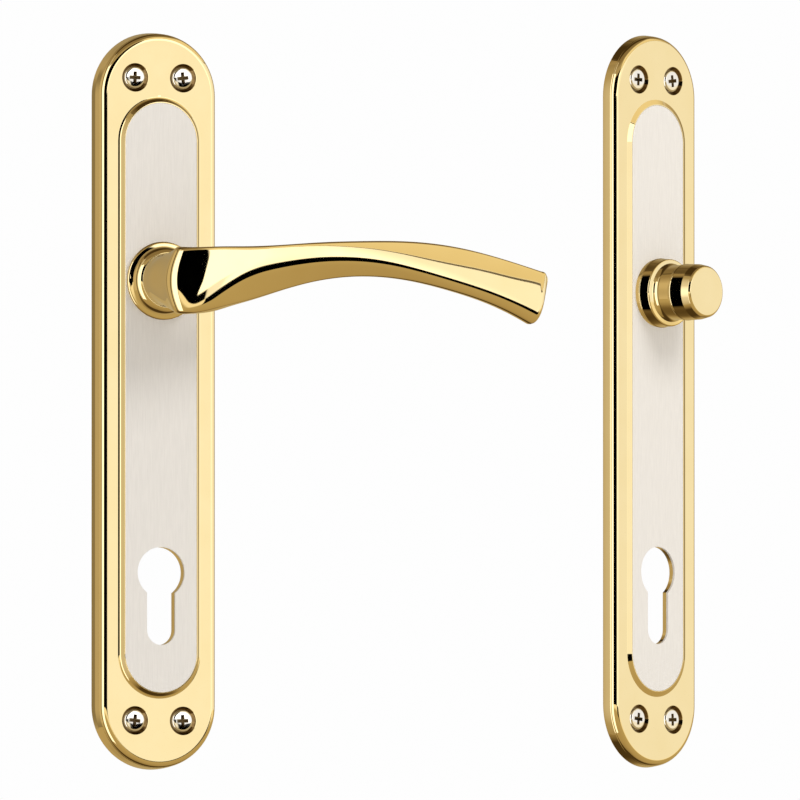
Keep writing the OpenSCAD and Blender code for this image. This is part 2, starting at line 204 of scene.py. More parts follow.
def combine(body, tools, operation):
    """Boolean of a mesh object with several others, which are used up."""
    group = bpy.data.collections.new("tools")
    scene.collection.children.link(group)
    for tool in tools:
        scene.collection.objects.unlink(tool)
        group.objects.link(tool)
    step = body.modifiers.new("boolean", "BOOLEAN")
    step.operation = operation
    step.operand_type = "COLLECTION"
    step.collection = group
    step.solver = "EXACT"
    bpy.context.view_layer.update()
    result = body.evaluated_get(bpy.context.evaluated_depsgraph_get())
    mesh = bpy.data.meshes.new_from_object(result)
    body.modifiers.clear()
    weld(mesh)
    body.data = mesh
    for tool in tools:
        bpy.data.objects.remove(tool)
    bpy.data.collections.remove(group)
    return body


def finished(obj, half, node, material, crease=35):
    """Stands a flat-drawn piece up in place of a CAD node and shades it smooth between sharp creases."""
    mesh = obj.data
    mesh.polygons.foreach_set("use_smooth", [abs(face.normal.z) < 0.99999 for face in mesh.polygons])
    mesh.transform(half)
    mesh.set_sharp_from_angle(angle=math.radians(crease))
    normals = obj.modifiers.new("normals", "WEIGHTED_NORMAL")
    normals.keep_sharp = True
    normals.weight = 60
    mesh.materials.clear()
    mesh.materials.append(material)
    obj.visible_glossy = False
    obj.name = node + "_smooth"
    mesh.name = obj.name
    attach(obj, cad[node]["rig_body"])
    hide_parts(node)
    return obj


# ---------- materials ----------


def new_material(name):
    """Node material with its shader, ready to be wired."""
    material = bpy.data.materials.new(name)
    material.use_nodes = True
    return material, material.node_tree, material.node_tree.nodes["Principled BSDF"]


def noise(tree, scale, stretch=(1, 1, 1), detail=2.0):
    """Noise in real size, its scale counted per metre and stretched along the axes."""
    place = tree.nodes.new("ShaderNodeTexCoord")
    mapping = tree.nodes.new("ShaderNodeMapping")
    mapping.inputs["Scale"].default_value = stretch
    texture = tree.nodes.new("ShaderNodeTexNoise")
    texture.inputs["Scale"].default_value = scale
    texture.inputs["Detail"].default_value = detail
    tree.links.new(place.outputs["Object"], mapping.inputs["Vector"])
    tree.links.new(mapping.outputs["Vector"], texture.inputs["Vector"])
    return texture.outputs["Fac"]


def spread(tree, source, low, high):
    """Source value spread over a range."""
    node = tree.nodes.new("ShaderNodeMapRange")
    node.inputs["From Min"].default_value = 0.3
    node.inputs["From Max"].default_value = 0.7
    node.inputs["To Min"].default_value = low
    node.inputs["To Max"].default_value = high
    tree.links.new(source, node.inputs["Value"])
    return node.outputs["Result"]


def tinted(tree, source, dark, light):
    """Colour between dark and light by the source value."""
    node = tree.nodes.new("ShaderNodeMix")
    node.data_type = "RGBA"
    node.inputs[6].default_value = (*dark, 1)
    node.inputs[7].default_value = (*light, 1)
    tree.links.new(spread(tree, source, 0, 1), node.inputs[0])
    return node.outputs[2]


def bumped(tree, shader, source, strength, distance):
    """Fine relief on a shader."""
    node = tree.nodes.new("ShaderNodeBump")
    node.inputs["Strength"].default_value = strength
    node.inputs["Distance"].default_value = distance
    tree.links.new(source, node.inputs["Height"])
    tree.links.new(node.outputs["Normal"], shader.inputs["Normal"])


def metal(name, dark, light, rough_low, rough_high, grain, relief=0.0, stretch=(1, 1, 1)):
    """Metal whose colour, roughness and relief vary with a noise of the given grain per metre."""
    material, tree, shader = new_material(name)
    shader.inputs["Metallic"].default_value = 1
    value = noise(tree, grain, stretch, 3)
    tree.links.new(tinted(tree, value, dark, light), shader.inputs["Base Color"])
    tree.links.new(spread(tree, value, rough_low, rough_high), shader.inputs["Roughness"])
    if relief:
        bumped(tree, shader, value, relief, 0.0002)
    return material


def satin_inlay():
    """Brushed nickel: fine upright strokes over a soft sheen, part of it as scattered light."""
    material, tree, shader = new_material("satin_inlay")
    shader.inputs["Metallic"].default_value = 0.4
    strokes = noise(tree, 1, (3200, 3200, 160), 3)
    tree.links.new(tinted(tree, strokes, (0.87, 0.83, 0.78), (0.94, 0.90, 0.85)), shader.inputs["Base Color"])
    tree.links.new(spread(tree, strokes, 0.38, 0.46), shader.inputs["Roughness"])
    bumped(tree, shader, strokes, 0.08, 0.00005)
    return material


def bush_nylon():
    """Off-white moulded nylon."""
    material, tree, shader = new_material("bush_nylon")
    value = noise(tree, 300)
    tree.links.new(tinted(tree, value, (0.80, 0.79, 0.74), (0.86, 0.85, 0.81)), shader.inputs["Base Color"])
    tree.links.new(spread(tree, value, 0.42, 0.52), shader.inputs["Roughness"])
    return material


BRASS_DARK = (0.975, 0.785, 0.41)
BRASS_LIGHT = (0.995, 0.81, 0.44)
materials = {
    "polished_brass": metal("polished_brass", BRASS_DARK, BRASS_LIGHT, 0.02, 0.035, 90),
    "satin_inlay": satin_inlay(),
    "brass_screw": metal("brass_screw", (0.94, 0.89, 0.80), (0.98, 0.93, 0.84), 0.04, 0.08, 600),
    "bush_nylon": bush_nylon(),
    "spring_steel": metal("spring_steel", (0.30, 0.31, 0.33), (0.42, 0.43, 0.45), 0.22, 0.36, 900),
    "zinc_steel": metal("zinc_steel", (0.58, 0.60, 0.62), (0.72, 0.74, 0.76), 0.25, 0.40, 500),
}
# near-black brass for the screws' cross recesses: painted shade deep in the cross, not a different metal
cross_painted_shade = metal("cross_painted_shade", (0.05, 0.03, 0.012), (0.12, 0.08, 0.035), 0.12, 0.30, 1500)
# darker brass for the plates' screw recesses: painted shade in place of the shade deep inside them
recess_painted_shade = metal("recess_painted_shade", (0.12, 0.07, 0.025), (0.28, 0.18, 0.07), 0.08, 0.20, 800)
cast_back = metal("cast_back", (0.62, 0.53, 0.38), (0.70, 0.60, 0.43), 0.38, 0.52, 700, 0.25)
slots = {part["node"]: part["material_slot"] for part in frame["record"]["subparts"]}

# ---------- backplates ----------

# millimetres, as in the part
LEVER_FACE_H = 8.4
LEVER_ROOF_H = 6.6
KNOB_FACE_H = 5.4
KNOB_ROOF_H = 3.8
EDGE_R = 2.1
LAND_LIP = 0.3
PANEL_GAP = 0.05
CYLINDER_DROP = 58.3
CUT_R = 8.6
CUT_SLOT_R = 5.15
CUT_H = 33.2
SCREW_X = 8.75
SCREW_Y = 109
SCREW_RISE = 0.5
SCREW_HEAD_R = 3.7
RECESS_R = 4.75
WALL_T = 2.4
RIB_PLACES = (92, 76, 4, -20, -42, -92)
COVER_SCREW_Y = 21
KNOB_PIN_X = 5.2
KNOB_PIN_R = 1.27
THROUGH = 30


def euro_cutout(low, high):
    """Prism of the euro profile cut-out round the cylinder's axis."""
    round_r, slot_r = CUT_R, CUT_SLOT_R
    swing = math.asin(slot_r / round_r)
    drop = CUT_H - CUT_R - CUT_SLOT_R
    turns = np.linspace(-math.pi / 2 + swing, 1.5 * math.pi - swing, 64)
    outline = [(round_r * math.cos(a), round_r * math.sin(a)) for a in turns]
    turns = np.linspace(math.pi, 2 * math.pi, 28)
    outline += [(slot_r * math.cos(a), slot_r * math.sin(a) - drop) for a in turns]
    return prism(outline, low, high)


def placed(obj, x, y):
    """The object moved across its half."""
    obj.data.transform(Matrix.Translation((x, y, 0)))
    return obj


def screw_spots(middle):
    """Where the four fixing screws stand round a plate's middle."""
    return [(sx * SCREW_X, middle + SCREW_RISE + sy * SCREW_Y) for sx in (-1, 1) for sy in (-1, 1)]


def screw_hole(face_h):
    """Outline of a countersunk hole whose mouth has a broken edge."""
    hole_r, rim_r, mouth_r = 2.25, SCREW_HEAD_R + 0.15, RECESS_R + 0.2
    rim_h, top_h = face_h - 1.15, face_h + 2
    return [(0, -1), (hole_r, -1), (hole_r, rim_h - rim_r + hole_r), (rim_r, rim_h),
            (RECESS_R - 0.1, face_h - 0.3), (RECESS_R, face_h - 0.12), (mouth_r, face_h + 0.1),
            (mouth_r, top_h), (0, top_h)]


def plate_skin(half_w, face_h, roof_h, swell):
    """Outline of the hollow plate: roof, wall, bulging side, crease on top and the round up to the face."""
    pocket_r, side_r = half_w - WALL_T, half_w - 0.42
    crease_r, crease_h = half_w - 0.5, face_h - EDGE_R
    corners = [(0.5, roof_h, 0), (pocket_r, roof_h, 0.8), (pocket_r, 0, 0.15), (half_w, 0, 0.4),
               (half_w - 0.21 + swell / 100, crease_h / 2, swell), (side_r, crease_h - 0.15, 0.1),
               (crease_r, crease_h, 0)]
    corners += edge_round(crease_r - EDGE_R, crease_h)
    return rounded(corners, 8) + [(half_w - 0.8 - EDGE_R, face_h), (0.5, face_h)]


def plate_shell(plate_box, panel_box, face_h, roof_h, swell):
    """Plate body, the solids to add to it (land, screw bosses, ribs) and the cuts (inlay seat, holes)."""
    plate_w, plate_len = plate_box[1][0] - plate_box[0][0], plate_box[1][1] - plate_box[0][1]
    panel_w, panel_len = panel_box[1][0] - panel_box[0][0], panel_box[1][1] - panel_box[0][1]
    land_h, seat_h = plate_box[1][2], panel_box[0][2]
    top_h, under_h = land_h + 2, roof_h + 0.5
    middle = (plate_box[0][1] + plate_box[1][1]) / 2
    panel_middle = (panel_box[0][1] + panel_box[1][1]) / 2
    seat_r = panel_w / 2 + PANEL_GAP
    body = turned(plate_skin(plate_w / 2, face_h, roof_h, swell), plate_len - plate_w)
    placed(body, 0, middle)
    land = turned(land_skin(panel_w / 2 + LAND_LIP, face_h, land_h), panel_len - panel_w)
    seat = turned([(0.5, seat_h), (seat_r, seat_h), (seat_r, top_h), (0.5, top_h)], panel_len - panel_w)
    placed(land, 0, panel_middle)
    placed(seat, 0, panel_middle)
    cylinder = placed(euro_cutout(-1, top_h), 0, middle - CYLINDER_DROP)
    tools = [seat, cylinder] + [turned(screw_hole(face_h), at=spot) for spot in screw_spots(middle)]
    boss = [(0, 0), (5.3, 0), (5.6, 0.3), (5.6, under_h), (0, under_h)]
    inside = [placed(turned(boss), *spot) for spot in screw_spots(middle)]
    rib_x = plate_w / 2 - WALL_T / 2
    inside += [block((-rib_x, middle + y - 1, 1.2), (rib_x, middle + y + 1, under_h)) for y in RIB_PLACES]
    return body, [land] + inside, tools


def edge_round(centre_r, centre_h):
    """Quarter round from the crease up to the face."""
    turns = np.radians(np.linspace(4, 90, 24))
    return [(centre_r + EDGE_R * math.cos(a), centre_h + EDGE_R * math.sin(a), 0) for a in turns]


def land_skin(land_r, face_h, land_h):
    """Outline of the raised land: a small cove at its foot, then an even flank up to the lip."""
    rise = land_h - face_h
    tilt, run = (math.radians(56), 1.85) if rise > 1.2 else (math.radians(27), 1.65)
    foot_r, foot_h = land_r + run, face_h - 1
    cove_r = (run * math.tan(tilt) - rise) * math.cos(tilt) / (1 - math.cos(tilt))
    turns = np.linspace(0.1, tilt, 12)
    cove = [(foot_r - cove_r * math.sin(a), face_h + cove_r * (1 - math.cos(a))) for a in turns]
    lip = [(land_r + 0.03, land_h - 0.03 * math.tan(tilt)), (land_r, land_h - 0.01), (land_r - 0.03, land_h)]
    foot = [(0.5, foot_h), (foot_r, foot_h), (foot_r - 0.03, face_h - 0.01)]
    return foot + cove + lip + [(0.5, land_h)]


def paint_recesses(obj, half, face_h):
    """Gives the plate's screw recesses a darker brass, painted shade standing in for the shade deep inside
    them.
    """
    obj.data.materials.append(recess_painted_shade)
    flatten = half.inverted()
    spots = screw_spots((obj["flat_low"][1] + obj["flat_high"][1]) / 2)
    for face in obj.data.polygons:
        point = flatten @ face.center
        off_axis = min(math.dist(point[:2], spot) for spot in spots)
        # faces deep in a screw's recess take the painted shade
        if face_h - 3 < point.z < face_h - 0.02 and off_axis < RECESS_R + 0.02:
            face.material_index = 2


def paint_back(obj, half, roof_h):
    """Gives the unpolished inside of a hollow plate its own finish."""
    obj.data.materials.append(cast_back)
    flatten = half.inverted()
    flatten_normal = half.to_3x3().inverted()
    for face in obj.data.polygons:
        point = flatten @ face.center
        outwards = (flatten_normal @ face.normal).z
        inner = point.z < roof_h + 0.05 and (outwards < -0.5 or point.z > 0.3)
        if inner and not on_outside(point, obj):
            face.material_index = 1


def on_outside(point, obj):
    """Whether a point of a flat-drawn plate lies on its outer side wall."""
    low, high = obj["flat_low"], obj["flat_high"]
    half_w = (high[0] - low[0]) / 2
    end = (high[1] - low[1]) / 2 - half_w
    y = point.y - (low[1] + high[1]) / 2
    reach = math.hypot(point.x, max(0.0, abs(y) - end))
    return reach > half_w - 1.2


def backplate(half, node, panel, face_h, roof_h, swell, unions, cuts):
    """One half's backplate with its own extra bosses and holes, its side wall bulging by a radius swell."""
    plate_box, panel_box = flat_box(half, node), flat_box(half, panel)
    body, added, tools = plate_shell(plate_box, panel_box, face_h, roof_h, swell)
    combine(body, added + unions, "UNION")
    combine(body, tools + cuts, "DIFFERENCE")
    finished(body, half, node, materials["polished_brass"], 28)
    body["flat_low"], body["flat_high"] = list(plate_box[0]), list(plate_box[1])
    paint_back(body, half, roof_h)
    paint_recesses(body, half, face_h)
    return body


def lever_backplate():
    """Plate with the bush's web, the cover screws' bosses and the two stops for the spring driver."""
    roof_h, under_h, boss_h = LEVER_ROOF_H, LEVER_ROOF_H + 0.5, 0.75
    seat_h = flat_box(LEVER_HALF, "lever_panel")[0][2]
    cover_spots = [(0, -COVER_SCREW_Y), (0, COVER_SCREW_Y)]
    web = turned([(0, 4.9), (11.8, 4.9), (12, 5.1), (12, seat_h), (0, seat_h)])
    boss = [(0, boss_h), (3.2, boss_h), (3.4, boss_h + 0.2), (3.4, roof_h + 0.7), (0, roof_h + 0.7)]
    reach, offset, swing = 15, 4.8, math.radians(45)
    stop_spots = [(-offset, reach), (reach * math.sin(swing) + offset * math.cos(swing),
                                     reach * math.cos(swing) - offset * math.sin(swing))]
    stop = [(0, 2.2), (1.25, 2.2), (1.4, 2.35), (1.4, under_h), (0, under_h)]
    bosses = [turned(boss, at=spot) for spot in cover_spots]
    stops = [turned(stop, at=spot) for spot in stop_spots]
    cuts = [turned([(0, -1), (9.05, -1), (9.05, THROUGH), (0, THROUGH)]),
            turned([(0, seat_h - 1), (10.52, seat_h - 1), (10.52, THROUGH), (0, THROUGH)]),
            turned([(0, 0), (0.55, 0), (0.55, roof_h + 1.2), (0, roof_h + 1.2)], at=(0, -13.3), steps=8)]
    cuts += [turned([(0, 0), (1.52, 0), (1.52, 5.6), (0, 5.6)], at=spot) for spot in cover_spots]
    backplate(LEVER_HALF, "lever_plate", "lever_panel", LEVER_FACE_H, roof_h, 6, [web] + bosses + stops, cuts)


def knob_backplate():
    """Plate with the holes for the knob's screw and its pin."""
    screw = turned([(0, -1), (2.7, -1), (2.7, THROUGH), (0, THROUGH)])
    pin = turned([(0, -1), (KNOB_PIN_R, -1), (KNOB_PIN_R, THROUGH), (0, THROUGH)], at=(KNOB_PIN_X, 0),
                 steps=16)
    backplate(KNOB_HALF, "knob_plate", "knob_panel", KNOB_FACE_H, KNOB_ROOF_H, 0.1, [], [screw, pin])


def inlay(half, node, hole_r):
    """Satin inlay with a fine bevel round its edge, a round hole and the euro cut-out."""
    low, high = flat_box(half, node)
    width, length = high[0] - low[0], high[1] - low[1]
    plate_low, plate_high = flat_box(half, node.replace("panel", "plate"))
    r, bevel = width / 2, 0.12
    outline = [(0.5, low[2]), (r, low[2]), (r, high[2] - bevel), (r - bevel, high[2]), (0.5, high[2])]
    body = placed(turned(outline, length - width), 0, (low[1] + high[1]) / 2)
    hole = turned([(0, -1), (hole_r, -1), (hole_r, THROUGH), (0, THROUGH)])
    cut = placed(euro_cutout(-1, THROUGH), 0, (plate_low[1] + plate_high[1]) / 2 - CYLINDER_DROP)
    combine(body, [hole, cut], "DIFFERENCE")
    finished(body, half, node, materials["satin_inlay"], 28)


lever_backplate()
knob_backplate()
inlay(LEVER_HALF, "lever_panel", 10.6)
inlay(KNOB_HALF, "knob_panel", 9.2)

# ---------- fixing screws ----------


def cross_cutter(top_h, across, depth, blade):
    """Cross-shaped cutter that narrows downwards."""
    cutters = []
    mouth, foot = (top_h + 0.6, across * 0.6, blade * 1.15), (top_h - depth, across * 0.18, blade * 0.6)
    for turn in (0, 1):
        rings = []
        for h, reach, thick in (mouth, foot):
            corners = [(reach, -thick / 2), (reach, thick / 2), (-reach, thick / 2), (-reach, -thick / 2)]
            rings.append([(y, x, h) if turn else (x, y, h) for x, y in corners])
        cutters.append(loft(rings))
    return cutters


def thread(r, low, high, pitch=1.6, depth=0.45):
    """Outline of a thread as close ridges, from low to high."""
    count = int((high - low) / pitch)
    points = []
    for k in range(count):
        base = low + (high - low) * k / count
        points += [(r - depth, base), (r - depth, base + 0.5 * pitch), (r, base + 0.75 * pitch)]
    return points + [(r - depth, high)]


def plate_screw(face_h, out, spot, turn):
    """Raised countersunk wood screw with a cross recess, standing a length out of the plate's back."""
    rim_h, roll_r = face_h - 1.2, 0.75
    roll_at = (SCREW_HEAD_R - roll_r, rim_h + 0.12)
    point = [(0, -out), (0.9, 1.0 - out), (0.75, 1.3 - out), (1.6, 2.2 - out)]
    shank = thread(2, 2.4 - out, -0.3) + [(1.85, -0.2), (1.85, rim_h - 1.93)]
    turns = np.linspace(0, 0.49 * math.pi, 9)
    roll = [(roll_at[0] + roll_r * math.cos(a), roll_at[1] + roll_r * math.sin(a)) for a in turns]
    crown = [(1.5, rim_h + 0.92), (0, rim_h + 0.94)]
    body = turned(point + shank + [(SCREW_HEAD_R, rim_h - 0.08)] + roll + crown)
    combine(body, cross_cutter(rim_h + 0.93, 4.1, 1.9, 1.2), "DIFFERENCE")
    body.data.transform(Matrix.Rotation(turn, 4, "Z"))
    return placed(body, *spot)


def in_cross(face, spots, face_h):
    """Whether a face of the screws lies in a cross recess."""
    off_axis = min(math.dist(face.center[:2], spot) for spot in spots)
    return off_axis < 2.4 and face_h - 2.4 < face.center.z < face_h - 0.37


def plate_screws(half, node, plate, face_h):
    """The four fixing screws of one half as one piece, as they are in the part."""
    low, high = flat_box(half, plate)
    out = -flat_box(half, node)[0][2]
    spots = screw_spots((low[1] + high[1]) / 2)
    screws = [plate_screw(face_h, out, spot, math.radians(4 * k - 6)) for k, spot in enumerate(spots)]
    whole = bmesh.new()
    for screw in screws:
        whole.from_mesh(screw.data)
        bpy.data.objects.remove(screw)
    mesh = bpy.data.meshes.new(node)
    whole.to_mesh(mesh)
    whole.free()
    obj = bpy.data.objects.new(node, mesh)
    scene.collection.objects.link(obj)
    recessed = [in_cross(face, spots, face_h) for face in mesh.polygons]
    finished(obj, half, node, materials["brass_screw"], 32)
    # the faces in the cross recesses take the painted shade
    mesh.materials.append(cross_painted_shade)
    mesh.polygons.foreach_set("material_index", recessed)


plate_screws(LEVER_HALF, "lever_plate_screws", "lever_plate", LEVER_FACE_H)
plate_screws(KNOB_HALF, "knob_plate_screws", "knob_plate", KNOB_FACE_H)

# ---------- lever ----------

# Stations along the lever from the collar to the tip. Each holds the outer edge (x, h), the inner edge
# (x, h), the top and the bottom, how faceted it is, how far down its front ridge lies, how wide the ridge is,
# how much the section leans along the lever, and the tilt in degrees of the front at its top and above its
# ridge.
STATIONS = [
    (-8.3, 11.05, 8.3, 11.05, 8.3, -8.3, 0, 0.50, 0.10, 0, 5, 2),
    (-8.35, 16.0, 8.35, 16.0, 8.35, -8.35, 0, 0.50, 0.10, 0, 5, 2),
    (-8.85, 20.5, 8.85, 19.5, 9.0, -9.2, 0, 0.52, 0.10, 0, 5, 2),
    (-9.3, 29.0, 9.4, 25.0, 10.2, -11.3, 0.15, 0.62, 0.10, 0, 5, 2),
    (-9.8, 37.0, 10.4, 29.6, 10.6, -12.1, 0.4, 0.74, 0.10, 0, 5, 2),
    (-9.5, 41.4, 12.0, 32.4, 10.5, -12.3, 0.7, 0.80, 0.10, 0, 5, 2),
    (-6.8, 43.9, 14.2, 34.0, 10.3, -12.3, 0.9, 0.82, 0.10, 0, 5, 2),
    (-2.0, 45.4, 17.0, 34.8, 10.3, -11.8, 1, 0.80, 0.10, 0, 6, 3),
    (5.0, 45.9, 21.0, 35.1, 10.6, -10.0, 1, 0.66, 0.12, 0, 8, 4),
    (14.5, 45.6, 26.0, 35.1, 10.8, -7.6, 1, 0.44, 0.15, 0, 12, 9),
    (28.0, 44.7, 35.0, 34.7, 11.4, -4.0, 1, 0.32, 0.16, 0, 15, 12),
    (44.0, 43.5, 47.0, 34.1, 12.6, -0.4, 1, 0.34, 0.15, 0.02, 16, 13),
    (62.0, 42.3, 62.0, 33.6, 13.4, 1.4, 1, 0.45, 0.12, 0.06, 18, 13),
    (80.5, 41.0, 79.5, 32.6, 13.5, 0.2, 1, 0.64, 0.07, 0.13, 20, 13),
    (98.0, 39.7, 96.0, 31.8, 11.8, -3.2, 1, 0.74, 0.045, 0.22, 21, 13),
    (112.2, 38.4, 109.8, 30.9, 8.8, -7.0, 1, 0.765, 0.035, 0.30, 21, 13),
    (123.6, 37.3, 121.0, 30.2, 5.8, -11.3, 1, 0.77, 0.03, 0.34, 21, 13),
    (128.8, 36.7, 126.2, 29.8, 4.4, -13.7, 1, 0.77, 0.03, 0.34, 21, 13)]
RINGS = 260
FRONT_POINTS = 72
BACK_POINTS = 40
TIP_R = 3.0


def spline(table, count):
    """Rows of a table smoothed by a natural cubic spline and read at count even places along the lever."""
    rows = np.array(table, float)
    middle = (rows[:, 0:2] + rows[:, 2:4]) / 2
    steps = np.linalg.norm(np.diff(middle, axis=0), axis=1)
    steps += 0.35 * np.linalg.norm(np.diff(rows[:, 0:2], axis=0), axis=1)
    t = np.concatenate([[0], np.cumsum(steps)])
    n, gap = len(t), np.diff(t)
    system, right = np.eye(n), np.zeros_like(rows)
    for i in range(1, n - 1):
        system[i, i - 1:i + 2] = gap[i - 1], 2 * (gap[i - 1] + gap[i]), gap[i]
        right[i] = 6 * ((rows[i + 1] - rows[i]) / gap[i] - (rows[i] - rows[i - 1]) / gap[i - 1])
    curl = np.linalg.solve(system, right)
    u = np.linspace(0, t[-1], count)
    i = np.clip(np.searchsorted(t, u, side="right") - 1, 0, n - 2)
    a, b, h = (t[i + 1] - u)[:, None], (u - t[i])[:, None], gap[i][:, None]
    return (curl[i] * a ** 3 / (6 * h) + curl[i + 1] * b ** 3 / (6 * h)
            + (rows[i] / h - curl[i] * h / 6) * a + (rows[i + 1] / h - curl[i + 1] * h / 6) * b)


def front_tilt(along, faceted, ridge, width, top_tilt, mid_tilt):
    """Tilt of the front's normal in degrees, from straight up at 0 to straight down at 1 along the curve."""
    round_tilt = 90 - 180 * along
    top = min(0.1, ridge - 0.24) if ridge > 0.3 else 0.06
    places = [0, top, ridge - 0.22, ridge, ridge + width, min(ridge + width + 0.1, 0.9), 0.93, 1]
    tilts = [90, top_tilt, mid_tilt, -0.3, -4.3, -26, -32, -90]
    flat_tilt = np.interp(along, np.maximum.accumulate(places), tilts)
    kernel = np.hanning(7) / np.hanning(7).sum()
    padded = np.concatenate([[90] * 3, flat_tilt, [-90] * 3])
    flat_tilt = np.convolve(padded, kernel, "valid")
    return (1 - faceted) * round_tilt + faceted * flat_tilt


def lever_section(row, inset=0.0, shift=0.0):
    """Ring of points round one station: the front by its tilt, the back as half an oval."""
    outer, inner = np.array(row[0:2]), np.array(row[2:4])
    middle, across = (outer + inner) / 2, (outer - inner) / 2
    thick = np.linalg.norm(across)
    across, thick = across / thick, thick - inset
    top, bottom = row[4] - inset, row[5] + inset
    half_y, mid_y = (top - bottom) / 2, (top + bottom) / 2
    faceted, ridge, width = np.clip(row[6:9], (0, 0.3, 0.03), (1, 0.85, 0.17))
    along = (np.arange(FRONT_POINTS) + 0.5) / FRONT_POINTS
    tilt = np.radians(front_tilt(along, faceted, ridge, width, row[10], row[11]))
    y = np.concatenate([[0], np.cumsum(-np.cos(tilt))])
    z = np.concatenate([[0], np.cumsum(np.sin(tilt))])
    scale = 2 * half_y / -y[-1]
    y, z = top + y * scale, z * scale
    z = z - z.max()
    z *= min(1, 1.6 * thick / -z.min())
    z += thick
    turn = np.linspace(0, math.pi, BACK_POINTS + 1)[1:-1]
    base = z[-1] + (z[0] - z[-1]) * (1 - np.cos(turn)) / 2
    deep = base - (base + thick) * np.sin(turn) ** 0.8
    y = np.concatenate([y, mid_y - half_y * np.cos(turn)])
    z = np.concatenate([z, deep])
    x = middle[0] + across[0] * z + row[9] * (y - mid_y) + shift
    return [tuple(p) for p in np.stack([x, y, middle[1] + across[1] * z], 1)]


def lever_skin():
    """The lever's skin from the collar to the rounded tip."""
    rows = spline(STATIONS, RINGS)
    rings = [lever_section(row) for row in rows]
    for a in np.linspace(0, math.pi / 2, 12)[1:]:
        rings.append(lever_section(rows[-1], TIP_R * (1 - math.cos(a)), TIP_R * math.sin(a)))
    return loft(rings)


def build_lever():
    """Lever, neck and journal in one piece, with the spindle's socket and the grub screw's hole."""
    body = lever_skin()
    journal = turned(rounded([(0, 0.95, 0), (8, 0.95, 0.25), (8, 1.35, 0), (7.6, 1.35, 0), (7.6, 2.45, 0),
                              (8, 2.45, 0), (8, 15, 0), (0, 15, 0)]))
    combine(body, [journal], "UNION")
    flats = [block((x - 2, -9, 0), (x + 2, 9, 3.82)) for x in (-8.8, 8.8)]
    socket = block((-4.05, -4.05, 0), (4.05, 4.05, 25))
    grub = turned([(0, 0), (3.02, 0), (3.02, 20), (0, 20)])
    grub.data.transform(Matrix.Translation((0, 0, 20.5)) @ Matrix.Rotation(math.pi / 2, 4, "X"))
    combine(body, flats + [socket, grub], "DIFFERENCE")
    finished(body, LEVER_HALF, "lever", materials["polished_brass"], 30)


build_lever()

# ---------- collars and knob ----------


def arc(centre_r, centre_h, r, start, end, steps):
    """Arc of an outline between two angles in degrees."""
    turns = np.radians(np.linspace(start, end, steps))
    return [(centre_r + r * math.cos(a), centre_h + r * math.sin(a)) for a in turns]


def lever_collar():
    """Flange that flares outwards, then a domed shoulder round the neck."""
    seat, top = flat_box(LEVER_HALF, "lever_collar")[0][2], flat_box(LEVER_HALF, "lever_plate")[1][2]
    outline = [(9.05, seat), (10.45, seat), (10.5, seat + 0.05), (10.5, top), (12.4, top), (12.5, top + 0.05)]
    outline += arc(12.4, top + 1.9, 0.85, -20, 82, 14) + [(11.75, top + 2.77), (11.45, top + 2.95)]
    outline += arc(7.9, top + 3.1, 3.5, 2, 66, 22) + [(9.2, top + 6.28), (9.05, top + 6.1)]
    body = turned(outline, closed=True, steps=72)
    finished(body, LEVER_HALF, "lever_collar", materials["polished_brass"], 40)


def knob_collar():
    """Drum whose foot flares outwards, with a rounded shoulder round the knob's neck."""
    top = flat_box(KNOB_HALF, "knob_plate")[1][2]
    outline = [(9.0, top), (11.45, top), (11.52, top + 0.06)]
    outline += arc(11.62, top + 1.7, 0.22, -10, 60, 6) + [(11.66, top + 2.05), (11.48, top + 5.4)]
    outline += arc(10.95, top + 5.45, 0.53, 5, 80, 10) + [(9.1, top + 6.15), (9.0, top + 6.0)]
    body = turned(outline, closed=True, steps=72)
    finished(body, KNOB_HALF, "knob_collar", materials["polished_brass"], 40)


def knob():
    """Neck that flares at the collar, a waist, a rim, a straight side and a rounded front edge."""
    low, high = flat_box(KNOB_HALF, "knob")
    base, front = low[2], high[2]
    rim_h, collar_h = front - 9, flat_box(KNOB_HALF, "knob_collar")[1][2]
    neck = [(0, base, 0), (8.9, base, 0.1), (8.9, collar_h + 0.05, 0), (10.1, collar_h + 0.05, 0.1),
            (9.2, collar_h + 1.5, 2.5), (9.42, rim_h - 0.75, 0.5)]
    rim = [(9.42, rim_h - 0.45, 0.15), (9.66, rim_h - 0.1, 0.15), (9.66, rim_h + 0.3, 0.15),
           (9.6, rim_h + 0.5, 0.1)]
    side = [(9.44, rim_h + 5.4, 0.2), (8.86, front - 0.8, 0.4), (8.3, front - 0.2, 0.8), (0, front, 0)]
    body = turned(rounded(neck + rim + side, 9), steps=72)
    screw_top, pin_top = base + 13, base + 3.2
    tools = [turned([(0, base - 1), (2.52, base - 1), (2.52, screw_top), (0, screw_top)]),
             turned([(0, base - 1), (KNOB_PIN_R, base - 1), (KNOB_PIN_R, pin_top), (0, pin_top)],
                    at=(KNOB_PIN_X, 0), steps=16)]
    combine(body, tools, "DIFFERENCE")
    finished(body, KNOB_HALF, "knob", materials["polished_brass"], 40)


lever_collar()
knob_collar()
knob()

# ---------- return spring and the other inner parts ----------


